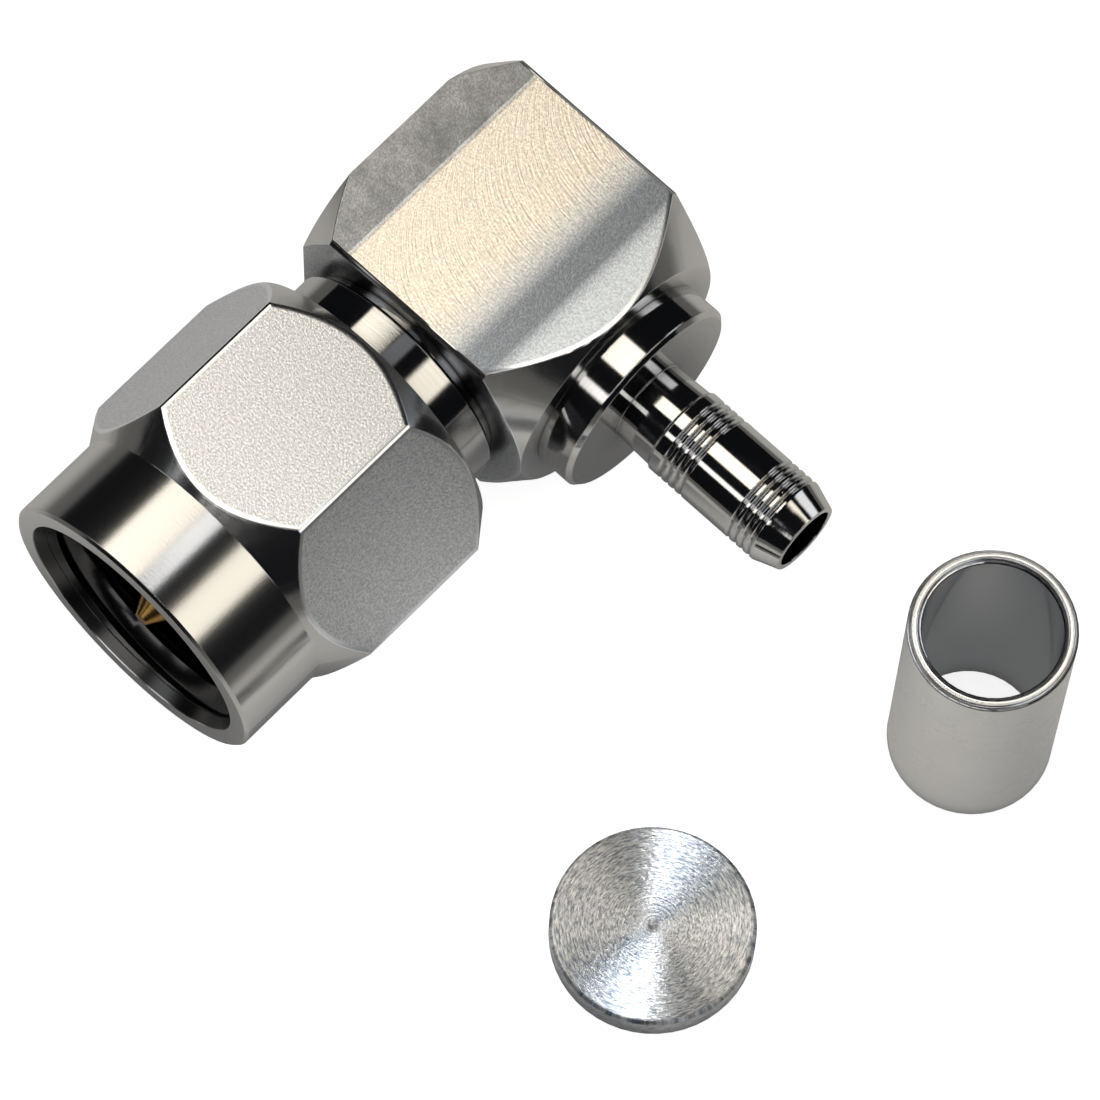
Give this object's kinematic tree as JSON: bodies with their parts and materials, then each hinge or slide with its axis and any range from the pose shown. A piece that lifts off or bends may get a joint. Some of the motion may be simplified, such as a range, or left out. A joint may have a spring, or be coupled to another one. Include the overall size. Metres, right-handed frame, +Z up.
{
  "type": "sma connector",
  "caption": "Right-angle coaxial crimp plug: hexagon coupling nut that turns on the barrel, square block, grooved cable stem, with its loose crimp ferrule and end cap.",
  "frame": {"origin": "centre of the mating reference plane, on the plug's axis", "axes": "-Y out of the plug's mouth, +X out along the cable stem, +Z up from the flat that the nut rests on"},
  "size_m": [0.0223, 0.0163, 0.008],
  "materials": {
    "nickel_polished": "polished",
    "nickel_satin": "satin",
    "gold_plate": "polished",
    "spring_bronze": "satin",
    "ptfe": "matte",
    "silicone": "matte"
  },
  "bodies": {
    "connector": {"body_block": "nickel_satin", "crimp_stem": "nickel_polished", "plug_barrel": "nickel_polished", "front_insulator": "ptfe", "center_contact": "gold_plate", "retaining_ring": "spring_bronze", "gasket": "silicone", "crimp_ferrule": "nickel_satin", "end_cap": "nickel_polished"},
    "nut": {"coupling_nut": "nickel_polished"}
  },
  "joints": [
    {"name": "nut_spin", "type": "hinge", "parent": "connector", "child": "nut", "pos_m": [0, 0, 0], "axis": [0, -1, 0], "continuous": true}
  ]
}
